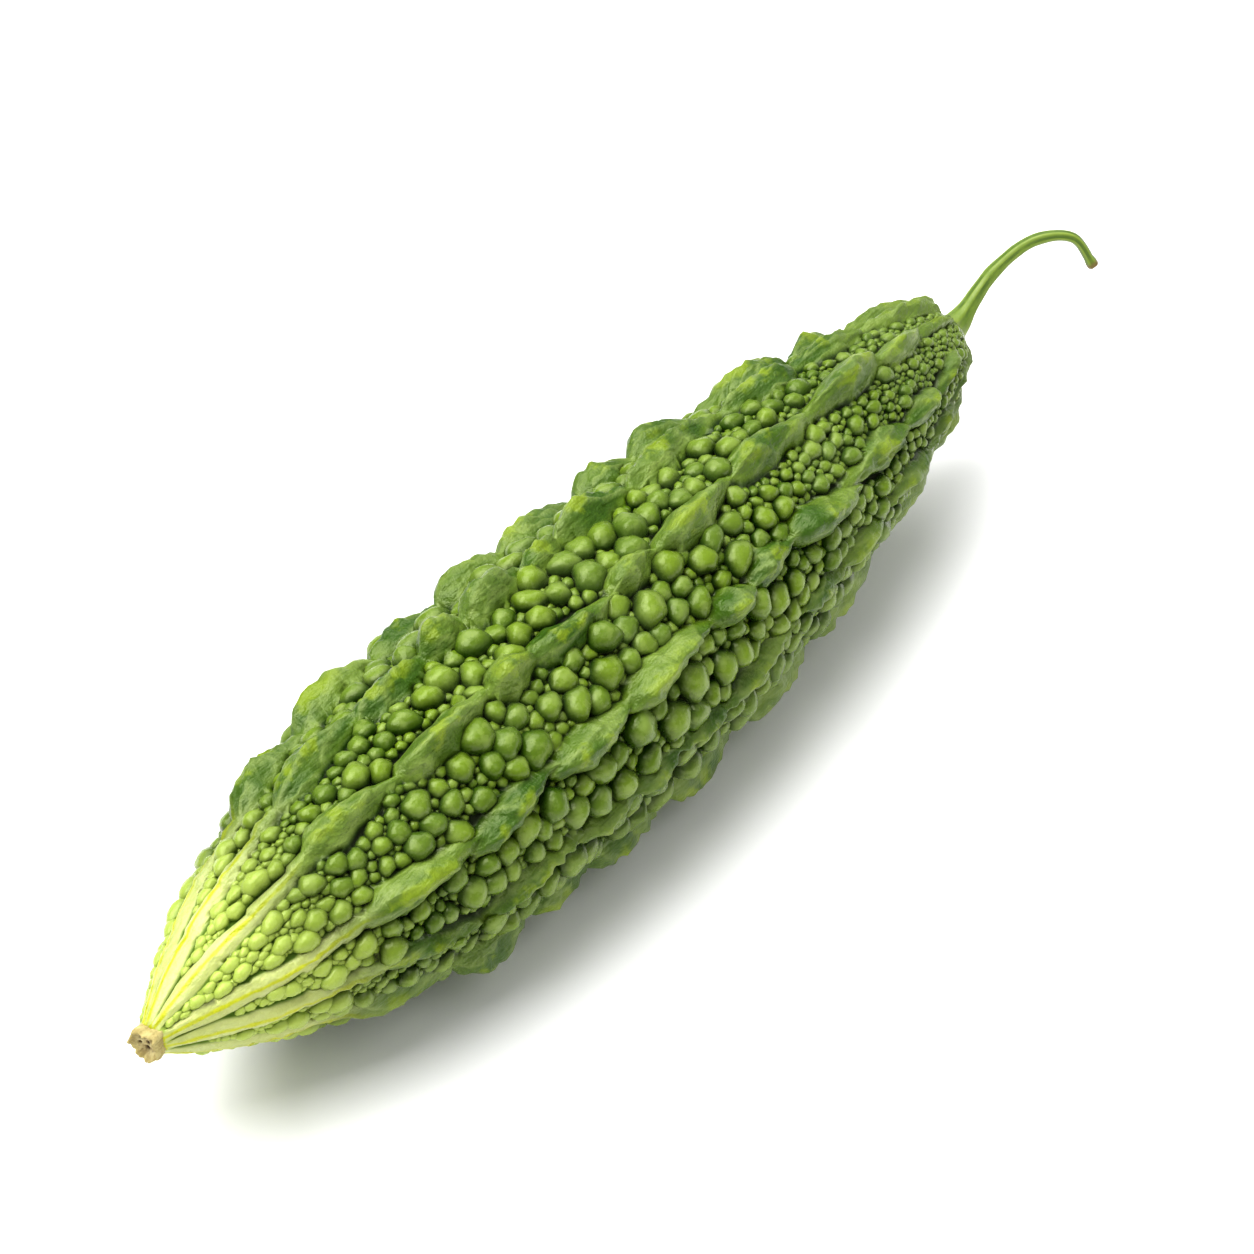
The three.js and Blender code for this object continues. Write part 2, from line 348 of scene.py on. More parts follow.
def fin_surface(s, offset, radius):
    """The fins' height over the fruit's outline, on a grid of stations by columns of every row.

    Each fin is -depth plus (depth plus its own height times its slope) times a section with a rounded top
    and slanting sides, (1 - across ** first) ** second, where across runs from 0 at its middle line to 1 at
    its foot. A row's surface is the highest of its fins and of its ridge. Also returned: how near each point
    is to a crest, and how far it is from its row's middle line."""
    x = s * FRUIT_LENGTH
    columns = len(offset)
    height = np.full((len(s), FIN_ROWS * columns), BELOW_ALL)
    crest = np.zeros_like(height)
    middle = np.zeros_like(height)
    pitch = ROW_PITCH * radius[:, None]
    depth = WART_DEPTH * wart_scale(s)[:, None]
    ends = np.sqrt(np.abs(np.sin(np.pi * s)))[:, None]
    rib = 1 - smooth(0.15, RIBS_END_AT, s)[:, None]
    for row in range(FIN_ROWS):
        here = slice(row * columns, (row + 1) * columns)
        wander = (0.5 * np.sin(x / 5.5 + 7 * row) * np.minimum(1, radius / 12))[:, None]
        aside = offset[None, :] * pitch_beside(row, offset[None, :], s[:, None]) * radius[:, None] - wander
        leaf = (x / (7 + 3 * scatter(row, 9)) + scatter(row, 11))[:, None] % 1
        leaf = 1 - 0.3 * rib * smooth(0.04, 0.08, s)[:, None] * smooth(0.05, 1, leaf) * smooth(1, 0.88, leaf)
        across = aside / (ridge_half_width(s)[:, None] * leaf)
        lumps = np.sin(x / (2.3 + 0.5 * scatter(row, 7)) + 9 * scatter(row, 5))[:, None]
        level = (1.2 * leaf - 0.3 + 0.2 * lumps) * rib + (-0.7 + 1.0 * lumps) * (1 - rib)
        section = rounded(across, *RIDGE_SECTION)
        ridge = -depth + (depth + RIDGE_HEIGHT * ends * level) * section
        best = np.where(np.abs(across) < 1, ridge, BELOW_ALL)
        peak = 0.4 * section * (0.5 + 0.5 * rib)
        for n, (start, length, tall, peak_at) in enumerate(ROWS[row]):
            share = (x - start) / length
            rows_in = (share > -0.02) & (share < 1.02)
            share = share[rows_in][:, None]
            half = fin_half_width(share, peak_at, pitch[rows_in], fin_strength(row))
            edge = share * 21 + n * 2.9 + 1.7 * np.sign(aside[rows_in])
            bulge = 1 + 0.1 * np.sin(share * 9 + n * 2.1) + 0.07 * np.sin(edge)
            tilt = 0.1 * (2 * scatter(row, n + 300) - 1) * (share - peak_at) * length
            across = (aside[rows_in] - tilt) / (half * bulge)
            ridged = 1 + 0.25 * (2 * scatter(row, n + 340) - 1) * across
            section = rounded(across, *FIN_SECTION) * ridged
            slope = fin_slope(share, peak_at, *FIN_SLOPES)
            tall_here = 0.5 * ends[rows_in] * RIDGE_HEIGHT + tall * slope
            fin = -depth[rows_in] + (depth[rows_in] + tall_here) * section
            fin = np.where(np.abs(across) < 1, fin, BELOW_ALL)
            near = section * (0.3 + 0.7 * slope)
            peak[rows_in] = np.where(fin > best[rows_in], near, peak[rows_in])
            best[rows_in] = np.maximum(best[rows_in], fin)
        height[:, here] = best
        crest[:, here] = peak
        middle[:, here] = aside
    return height, crest, middle


def widest_feet(s):
    """Half the width of what stands on each row at each station: its ridge, or the fin there if wider."""
    pitch = ROW_PITCH * fruit_radius(s)
    half = np.tile(ridge_half_width(s) * np.where(s < RIBS_END_AT, 1, 0.3), (FIN_ROWS, 1))
    for row in range(FIN_ROWS):
        for start, length, _, peak_at in ROWS[row]:
            share = (s * FRUIT_LENGTH - start) / length
            inside = (share > 0) & (share < 1)
            foot = np.where(inside, fin_half_width(share, peak_at, pitch, fin_strength(row)), 0)
            half[row] = np.maximum(half[row], foot)
    return half


def gaps_to(warts, along, around, radius, pitch):
    """How far each wart's edge is from the edge of a ball of that radius at that place."""
    turn = np.abs(warts[:, 1] - around)
    turn = np.minimum(turn, FIN_ROWS - turn) * pitch
    return np.hypot(warts[:, 0] - along, turn) - WART_SPACING * (warts[:, 2] + radius)


def thrown(kept, size, tries, s_grid, arcs, feet, rng):
    """The warts kept so far, and those of this size that landed between the rows and touched no other."""
    along = rng.uniform(WART_ENDS[0], arcs[-1] - WART_ENDS[1], tries)
    s = np.interp(along, arcs, s_grid)
    around = rng.uniform(0, FIN_ROWS, tries)
    lane = np.floor(around) + np.round((around % 1 - 0.5) * LANES * 2) / (LANES * 2) + 0.5
    in_lane = rng.uniform(0, 1, tries) < 0.8 * smooth(0.55, 0.75, s)
    around = np.where(in_lane, lane + rng.normal(0, 0.01, tries), around) % FIN_ROWS
    radius = np.maximum(0.5, size * wart_scale(s) * rng.uniform(0.9, 1.1, tries))
    row = np.floor(around).astype(int) % FIN_ROWS
    side = around - np.floor(around) - 0.5
    pitch = pitch_beside(row, side, s) * fruit_radius(s)
    clear = np.abs(side) * pitch - feet[row, np.searchsorted(arcs, along) - 1] > WART_CLEAR * radius
    wanted = rng.uniform(0, 1, tries) < fruit_radius(s) / FRUIT_RADIUS
    for i in np.flatnonzero(clear & wanted):
        gap = gaps_to(kept, along[i], around[i], radius[i], pitch[i])
        if not len(gap) or gap.min() > 0:
            kept = np.vstack([kept, (along[i], around[i], radius[i], pitch[i])])
    return kept


def fill_holes(kept, s_grid, arcs, feet):
    """Sets a small wart in the widest hole left, over and over, until no hole is wide enough. room is the
    radius of the largest ball that fits at each place: from the feet of the rows, and from every wart,
    distance / spacing less the wart's own radius."""
    along = np.arange(FILLER_ENDS[0], arcs[-1] - FILLER_ENDS[1], FILLER_STEP)
    s = np.interp(along, arcs, s_grid)
    per_row = int(ROW_PITCH * FRUIT_RADIUS / FILLER_STEP)
    around = (np.arange(FIN_ROWS * per_row) + 0.5) / per_row
    row = np.floor(around).astype(int)
    side = around - row - 0.5
    pitch = pitch_beside(row[None, :], side[None, :], s[:, None]) * fruit_radius(s)[:, None]
    foot = feet[row[None, :], (np.searchsorted(arcs, along) - 1)[:, None]]
    room = (np.abs(side) * pitch - foot) / WART_CLEAR
    most = np.maximum(FILLER_MOST * wart_scale(s), FILLER_MOST_AT_ENDS)[:, None]
    room = np.where(room > 0, np.minimum(room, most), 0)

    def shut(place, turn, radius, span):
        """Takes the room that a wart at this place leaves to others around it."""
        reach = (radius + FILLER_MOST) * WART_SPACING
        near = slice(*np.searchsorted(along, (place - reach, place + reach)))
        half = int(reach / span * per_row) + 1
        columns = np.arange(int(turn * per_row) - half, int(turn * per_row) + half + 1)
        across = ((columns + 0.5) / per_row - turn) * span
        far = np.hypot((along[near] - place)[:, None], across[None, :]) / WART_SPACING - radius
        window = np.ix_(np.arange(near.start, near.stop), columns % len(around))
        room[window] = np.minimum(room[window], far)

    for wart in kept:
        shut(*wart)
    added = []
    while room.max() > FILLER_LEAST:
        i, j = np.unravel_index(np.argmax(room), room.shape)
        added.append((along[i], around[j], room[i, j], pitch[i, j]))
        shut(*added[-1])
    return np.vstack([kept] + added)


def scatter_warts(s_grid, arcs, rng):
    """Throws warts at the skin between the rows, the largest first, lets each grow until it meets its
    nearest neighbour or is a fifth larger, and then fills the holes with small ones.

    Each is kept as its length along the outline, its place around in rows, its radius, and how many
    millimetres one row's pitch is there. Near the stem end they fall in lanes."""
    kept = np.zeros((0, 4))
    feet = widest_feet(s_grid)
    for size, tries in WART_TRIES:
        kept = thrown(kept, size, tries, s_grid, arcs, feet, rng)
    for i in rng.permutation(len(kept)):
        gap = gaps_to(kept, *kept[i])
        gap[i] = np.inf
        kept[i, 2] += min(max(0, gap.min()), 0.2 * kept[i, 2])
    return fill_holes(kept, s_grid, arcs, feet)


def wart_surface(s_grid, arcs, columns, warts, rng):
    """Each wart is a ball that stands on the skin: a point at a share of the way from its middle to its foot
    lies at that share of the ball's turn from its top. So its height is radius * (cos turn - cos foot), and
    it moves sideways from its place on the grid to radius * sin turn. Returns the height, the two sideways
    moves, how near the top a point is, and a number that is the same all over one wart."""
    height = np.zeros((len(arcs), columns))
    push = np.zeros((2, len(arcs), columns))
    tint = np.full((len(arcs), columns), 0.5)
    crown = np.zeros((len(arcs), columns))
    step = arcs[1] - arcs[0]
    for along, u, r, pitch in warts:
        s = float(np.interp(along, arcs, s_grid))
        long = 1 + rng.uniform(0, WART_STRETCH) + TIP_STRETCH * (1 - float(smooth(0.06, 0.2, s)))
        long += STEM_STRETCH * float(smooth(0.6, 0.8, s))
        own, slant, squash = rng.uniform(0, 1), rng.uniform(-0.3, 0.3), rng.uniform(0.88, 1.06)
        foot = r * np.sin(BALL_TURN)
        low = max(1, int((along - foot * long * WART_REACH) / step) - 1)
        high = min(len(arcs) - 1, int((along + foot * long * WART_REACH) / step) + 2)
        half = int(foot * WART_REACH / pitch * columns / FIN_ROWS) + 2
        middle = int(u / FIN_ROWS * columns)
        turn = np.arange(middle - half, middle + half + 1)
        da = (arcs[low:high] - along)[:, None]
        dw = ((turn / columns * FIN_ROWS - u) * pitch)[None, :]
        bearing = np.arctan2(dw, da)
        corner = 1 + 0.06 * np.cos(3 * bearing + own * 9) + 0.04 * np.cos(5 * bearing + own * 31)
        share = np.hypot((da + slant * dw) / (foot * long), dw / foot) * corner
        round_at = BALL_TURN * np.clip(share, 0, 1)
        tall = squash * r * (np.cos(round_at) - np.cos(BALL_TURN))
        out = np.sin(round_at) / np.maximum(share * np.sin(BALL_TURN), 1e-3) - 1
        turn = turn % columns
        window = np.ix_(np.arange(low, high), turn)
        better = (share < 1) & (tall > height[window])
        height[window] = np.where(better, tall, height[window])
        push[0][window] = np.where(better, out * da, push[0][window])
        push[1][window] = np.where(better, out * dw, push[1][window])
        tint[window] = np.where(better, own, tint[window])
        crown[window] = np.where(better, tall / (squash * r * (1 - np.cos(BALL_TURN))), crown[window])
    return height, push, crown, tint


def closed_grid(name, points, ends, values):
    """A mesh from rings of points and a point at each end, as a grid of quads closed round its length and
    two fans of triangles. values are named numbers, one for each point and end."""
    rings, columns, _ = points.shape
    count = rings * columns
    co = np.concatenate([points.reshape(-1, 3), ends]).astype(np.float32)
    ring = np.arange(rings - 1)[:, None] * columns
    column = np.arange(columns)[None, :]
    after = (column + 1) % columns
    quads = np.stack([ring + column, ring + after, ring + columns + after, ring + columns + column], -1)
    quads = quads.reshape(-1, 4)
    first = np.stack([np.full(columns, count), after[0], column[0]], -1)
    top = (rings - 1) * columns
    last = np.stack([np.full(columns, count + 1), top + column[0], top + after[0]], -1)
    loops = np.concatenate([quads.ravel(), first.ravel(), last.ravel()]).astype(np.int32)
    sizes = np.concatenate([np.full(len(quads), 4), np.full(2 * columns, 3)]).astype(np.int32)
    mesh = bpy.data.meshes.new(name)
    mesh.vertices.add(len(co))
    mesh.vertices.foreach_set("co", (co * MM).ravel())
    mesh.loops.add(len(loops))
    mesh.loops.foreach_set("vertex_index", loops)
    mesh.polygons.add(len(sizes))
    mesh.polygons.foreach_set("loop_start", np.concatenate([[0], np.cumsum(sizes)[:-1]]).astype(np.int32))
    mesh.polygons.foreach_set("use_smooth", np.ones(len(sizes), bool))
    for key, field in values.items():
        flat = np.concatenate([field.ravel(), [field[0].mean(), field[-1].mean()]]).astype(np.float32)
        mesh.attributes.new(key, "FLOAT", "POINT").data.foreach_set("value", flat)
    mesh.update(calc_edges=True)
    mesh.validate()
    piece = bpy.data.objects.new(name, mesh)
    bpy.context.scene.collection.objects.link(piece)
    return piece


def thinned(piece, most):
    """The piece with its flattest edges collapsed until at most that many triangles are left."""
    triangles = sum(len(p.vertices) - 2 for p in piece.data.polygons)
    if triangles > most:
        thin = piece.modifiers.new("thin", "DECIMATE")
        thin.ratio = most / triangles
        whole = bpy.data.meshes.new_from_object(piece.evaluated_get(bpy.context.evaluated_depsgraph_get()))
        piece.modifiers.clear()
        piece.data = whole
        whole.polygons.foreach_set("use_smooth", np.ones(len(whole.polygons), bool))
    return piece


def build_fruit(tip, neck, roll):
    """The fruit: its outline, carried round its axis, moved out along the outline's normal by the higher of
    its fins and its warts, bent sideways as a parabola, and pressed flat where it would pass the floor."""
    rng = np.random.default_rng(SKIN_SEED)
    s, arcs = even_stations(FRUIT_STATIONS)
    columns = FIN_ROWS * COLUMNS_PER_ROW
    radius = fruit_radius(s)
    around = (np.arange(columns) / COLUMNS_PER_ROW)[None, :]
    offset = np.arange(COLUMNS_PER_ROW) / COLUMNS_PER_ROW - 0.5
    warts = scatter_warts(s, arcs, rng)
    bumps, push, crown, tint = wart_surface(s, arcs, columns, warts, rng)
    depth = (WART_DEPTH * wart_scale(s))[:, None]
    fins, crest, middle = fin_surface(s, offset, radius)
    on_fin = fins > bumps - depth
    height = np.where(on_fin, fins, bumps - depth)
    push = np.where(on_fin, 0, push)
    crown = np.where(on_fin, np.clip((fins + depth) / (depth + 0.6), 0, 1), crown)
    fin = np.where(on_fin, crest, 0)
    along = s[:, None]
    vein = 1 - 2.2 * np.abs(ripple(along * FRUIT_LENGTH / 30, around, 18, 3, 2.2, 46))
    lumps = ripple(along * FRUIT_LENGTH / 10, around, 24, 4, 4, 60)
    crumple = ripple(along * FRUIT_LENGTH / 10, around, 16, 6, 2.4, 34)
    swell = ripple(along, around, 10, 5, 5, 5)
    ends = smooth(0, 0.012, along) * (1 - smooth(0.988, 1, along))
    veined = np.clip(vein, -0.6, 1) * np.clip(fin * 2.5, 0, 1) * smooth(0.08, 0.2, along)
    height = height + VEIN_HEIGHT * veined + LUMP_HEIGHT * lumps * crown * wart_scale(along)
    height = height + CRUMPLE_HEIGHT * crumple * np.clip(fin * 2.0, 0, 1) * smooth(0.1, 0.25, along)
    height = (height + SWELL_HEIGHT * swell * np.sqrt(np.abs(np.sin(np.pi * along)))) * ends

    row = np.floor(around).astype(int) % FIN_ROWS
    side = around - np.floor(around) - 0.5
    neighbour = (row + np.where(side < 0, FIN_ROWS - 1, 1)) % FIN_ROWS
    sway = row_sway(row, along) * (1 - np.abs(side)) + row_sway(neighbour, along) * np.abs(side)
    angle = ROW_PITCH * around + sway + roll
    slope = np.gradient(radius, s * FRUIT_LENGTH)
    lean = np.hypot(slope, 1)
    outward = (1 / lean)[:, None]
    forward = (-slope / lean)[:, None]
    lengthwise = push[0] - WART_LEAN * np.where(on_fin, 0, bumps) * ends
    x = along * FRUIT_LENGTH + height * forward + lengthwise * outward
    reach = radius[:, None] + height * outward - lengthwise * forward
    bend = SIDEWAYS_BEND * (1 - (2 * along - 1) ** 2)
    y = bend + reach * np.sin(angle) + push[1] * np.cos(angle)
    z = -reach * np.cos(angle) + push[1] * np.sin(angle)
    points = np.stack([x, y, z], -1) + tip
    points[..., 2] = np.maximum(points[..., 2], FLOOR_CLEARANCE)
    values = {
        # crown sets the painted shade in the creases, the lighter wart tops and the roughness; it is raised
        # at both ends of the fruit, so that they are not darkened.
        "crown": np.maximum(crown, 0.7 * (1 - ends)),
        "fin": fin,
        "tint": tint,
        "along": np.broadcast_to(along, crown.shape),
        "aside": middle,
        "vein": np.clip(vein, 0, 1) * np.clip(fin * 2.5, 0, 1),
    }
    flipped = {key: field[:, ::-1] for key, field in values.items()}
    grid = closed_grid("gourd_skin", points[:, ::-1], np.array([tip, neck]), flipped)
    return thinned(grid, MOST_TRIANGLES)


# ---------------------------------------------------------------- stem and flower remains


def between(first, last, start, end, t):
    """The mix of two points that is the first at t = start and the last at t = end."""
    return first * (end - t) / (end - start) + last * (t - start) / (end - start)


def smooth_route(points, count):
    """Points on the curve through the given ones whose knots are spaced by the square root of distance."""
    points = np.array(points, float)
    ghosts = np.vstack([2 * points[0] - points[1], points, 2 * points[-1] - points[-2]])
    out = []
    per = max(2, count // (len(points) - 1) * 4)
    for i in range(len(points) - 1):
        p = ghosts[i : i + 4]
        k = np.concatenate([[0], np.cumsum(np.sqrt(np.linalg.norm(np.diff(p, axis=0), axis=1)))])
        t = np.linspace(k[1], k[2], per, endpoint=False)[:, None]
        a = [between(p[j], p[j + 1], k[j], k[j + 1], t) for j in range(3)]
        b = [between(a[j], a[j + 1], k[j], k[j + 2], t) for j in range(2)]
        out.append(between(b[0], b[1], k[1], k[2], t))
    path = np.vstack(out + [points[-1:]])
    arc = np.concatenate([[0], np.cumsum(np.linalg.norm(np.diff(path, axis=0), axis=1))])
    even = np.linspace(0, arc[-1], count)
    return np.stack([np.interp(even, arc, path[:, i]) for i in range(3)], -1), even / arc[-1]


def carried_frames(path):
    """Two directions square to the path at each of its points, carried along it without twisting."""
    tangent = np.gradient(path, axis=0)
    tangent /= np.linalg.norm(tangent, axis=1)[:, None]
    side = np.zeros_like(path)
    side[0] = np.cross(tangent[0], (0, 0, 1))
    for i in range(len(path)):
        if i:
            side[i] = side[i - 1] - tangent[i] * (side[i - 1] @ tangent[i])
        side[i] /= np.linalg.norm(side[i])
    return side, np.cross(tangent, side), tangent


def build_stem(neck):
    """The stem: a round section with five faint ribs, carried along the route, wide at the neck and thin at
    the cut, where it swells a little and ends in a dished face."""
    reach, rise, turn = STEM_REACH, STEM_RISE, STEM_TURN
    route = [
        (-STEM_SUNK, 0, 0),
        (0.12 * reach, 0, 0.05 * rise),
        (0.5 * reach, -0.08 * turn, 0.58 * rise),
        (0.78 * reach, -0.35 * turn, 0.94 * rise),
        (0.95 * reach, -0.72 * turn, 0.96 * rise),
        (reach, -turn, rise - STEM_HOOK),
    ]
    path, along = smooth_route(route, STEM_RINGS)
    side, up, tangent = carried_frames(path)
    flare = np.maximum(0, 1 - along / STEM_FLARE) ** 2.2
    radius = STEM_NECK_RADIUS + (STEM_CUT_RADIUS - STEM_NECK_RADIUS) * along
    radius = radius + (STEM_BASE_RADIUS + 0.25 - STEM_NECK_RADIUS) * flare
    radius = radius * (1 + 0.025 * np.sin(along * 21) + 0.02 * np.sin(along * 47 + 1))
    radius = radius + STEM_CUT_SWELLING * smooth(0.95, 0.985, along)
    angle = np.linspace(0, 2 * np.pi, STEM_COLUMNS, endpoint=False)
    ribs = 1 + STEM_RIB_DEPTH * np.cos(STEM_RIBS * angle[None, :] + 1.2 * along[:, None])
    ribs = ribs + 0.02 * np.cos(11 * angle[None, :] - along[:, None] * 3)
    section = radius[:, None] * ribs
    cut_radius = np.array(STEM_CUT_RADII)[:, None] * section[-1][None, :]
    cut_depth = np.array(STEM_CUT_DEPTHS)
    around = np.cos(angle)[None, :, None] * side[:, None] + np.sin(angle)[None, :, None] * up[:, None]
    points = path[:, None] + section[..., None] * around
    turned = np.cos(angle)[None, :, None] * side[-1] + np.sin(angle)[None, :, None] * up[-1]
    cut = path[-1] + cut_radius[..., None] * turned + cut_depth[:, None, None] * tangent[-1]
    points = np.concatenate([points, cut]) + neck
    share = np.concatenate([along, [1, 1, 1]])[:, None] * np.ones(len(angle))
    face = np.concatenate([smooth(0.965, 0.995, along), [1, 1, 1]])[:, None] * np.ones(len(angle))
    rib = np.concatenate([ribs, ribs[-1:], ribs[-1:], ribs[-1:]])
    ends = np.array([path[0] + neck, path[-1] + neck - 0.2 * tangent[-1]])
    values = {"along": share, "cut": face, "rib": (rib[:, ::-1] - 1) * 12 + 0.5}
    return closed_grid("stem_stalk", points[:, ::-1], ends, values)


def build_scar(tip):
    """The dried flower remains: a lobed button whose front is dished, pocked with pores and ragged at its
    rim. Its profile runs from the middle of the front, over the rim, to the back inside the fruit."""
    profile = np.array(SCAR_PROFILE)
    t = np.linspace(0, len(profile) - 1, SCAR_RINGS)
    across = np.interp(t, np.arange(len(profile)), profile[:, 0])
    out = np.interp(t, np.arange(len(profile)), profile[:, 1])
    kernel = np.hanning(9) / np.hanning(9).sum()
    across = np.convolve(np.pad(across, 4, mode="edge"), kernel, "valid")
    out = np.convolve(np.pad(out, 4, mode="edge"), kernel, "valid")
    angle = np.linspace(0, 2 * np.pi, SCAR_COLUMNS, endpoint=False)[None, :]
    rim = smooth(0.3, 1.0, across)[:, None]
    lobes = 0.07 * np.cos(5 * angle) + 0.05 * np.cos(3 * angle + 1)
    lobes = lobes + 0.03 * np.sin(13 * angle + 2) + 0.02 * np.sin(29 * angle)
    radius = SCAR_RADIUS * across[:, None] * (1 + rim * lobes)
    y = radius * np.sin(angle)
    z = -radius * np.cos(angle)
    ragged = 0.22 * np.sin(7 * angle + 1) + 0.14 * np.sin(17 * angle)
    x = out[:, None] + rim * ragged * smooth(-0.3, -1.2, out)[:, None]
    front = (np.arange(SCAR_RINGS) < SCAR_RINGS // 2)[:, None]
    pores = np.zeros_like(y)
    for pore_y, pore_z, size in SCAR_PORES:
        pores += np.exp(-((y - pore_y) ** 2 + (z - pore_z) ** 2) / size**2) * front
    x = x + PORE_DEPTH * pores
    points = np.stack([x, y, z], -1) + tip
    ends = np.array([tip + (out[0], 0, 0), tip + (out[-1], 0, 0)])
    values = {"pore": np.clip(pores, 0, 1)[:, ::-1], "rim": np.broadcast_to(rim, y.shape)}
    return closed_grid("blossom_remains", points[:, ::-1], ends, values)


# ---------------------------------------------------------------- finishes


def paint(red, green, blue):
    """A linear colour from the 0 to 255 values of a swatch."""
    c = np.array([red, green, blue]) / 255
    linear = np.where(c <= 0.04045, c / 12.92, ((c + 0.055) / 1.055) ** 2.4)
    return (*linear, 1.0)


class Finish:
    """A material being put together: each call adds a node and returns its output."""

    def __init__(self, name):
        self.material = bpy.data.materials.new(name)
        self.material.use_nodes = True
        self.tree = self.material.node_tree
        self.skin = self.tree.nodes["Principled BSDF"]

    def node(self, kind, out=0, settings=None, **inputs):
        """Adds a node. An input is named in words, or as i and its number. Returns the output asked for."""
        node = self.tree.nodes.new(kind)
        for key, value in (settings or {}).items():
            setattr(node, key, value)
        for key, value in inputs.items():
            self.feed(node.inputs[int(key[1:]) if key[1:].isdigit() else key.replace("_", " ")], value)
        return node.outputs[out]

    def feed(self, socket, value):
        """Links a node's output to the socket, or sets a plain value on it."""
        if isinstance(value, bpy.types.NodeSocket):
            self.tree.links.new(value, socket)
        else:
            socket.default_value = value

    def field(self, name):
        """The number that a mesh keeps at each of its points under this name."""
        return self.node("ShaderNodeAttribute", out=2, settings={"attribute_name": name})

    def place(self, scale=(1, 1, 1)):
        """The place in the piece, in metres, stretched by a scale."""
        where = self.node("ShaderNodeTexCoord", out=3)
        return self.node("ShaderNodeMapping", i0=where, i3=scale)

    def noise(self, where, scale, detail=3.0):
        """Soft blotches, that many to a metre."""
        return self.node("ShaderNodeTexNoise", i0=where, Scale=scale, Detail=detail, Roughness=0.55)

    def span(self, value, low, high, to_low=0.0, to_high=1.0):
        """Rises smoothly from one number to the other as the value goes from low to high."""
        smooth_step = {"interpolation_type": "SMOOTHSTEP"}
        ends = {"i1": low, "i2": high, "i3": to_low, "i4": to_high}
        return self.node("ShaderNodeMapRange", i0=value, settings=smooth_step, **ends)

    def plus(self, a, b):
        """The sum of two numbers."""
        return self.node("ShaderNodeMath", i0=a, i1=b, settings={"operation": "ADD"})

    def times(self, a, b):
        """The product of two numbers."""
        return self.node("ShaderNodeMath", i0=a, i1=b, settings={"operation": "MULTIPLY"})

    def mix(self, share, a, b):
        """The colour a, turned into b by a share from 0 to 1."""
        mix = self.tree.nodes.new("ShaderNodeMix")
        mix.data_type = "RGBA"
        for socket, value in ((mix.inputs[0], share), (mix.inputs[6], a), (mix.inputs[7], b)):
            self.feed(socket, value)
        return mix.outputs[2]

    def set(self, **sockets):
        """Feeds the surface shader's own sockets."""
        for key, value in sockets.items():
            self.feed(self.skin.inputs[key.replace("_", " ")], value)

    def bump(self, height, strength, distance):
        """Fine relief on the surface, that many metres high at most."""
        self.set(Normal=self.node("ShaderNodeBump", Height=height, Strength=strength, Distance=distance))


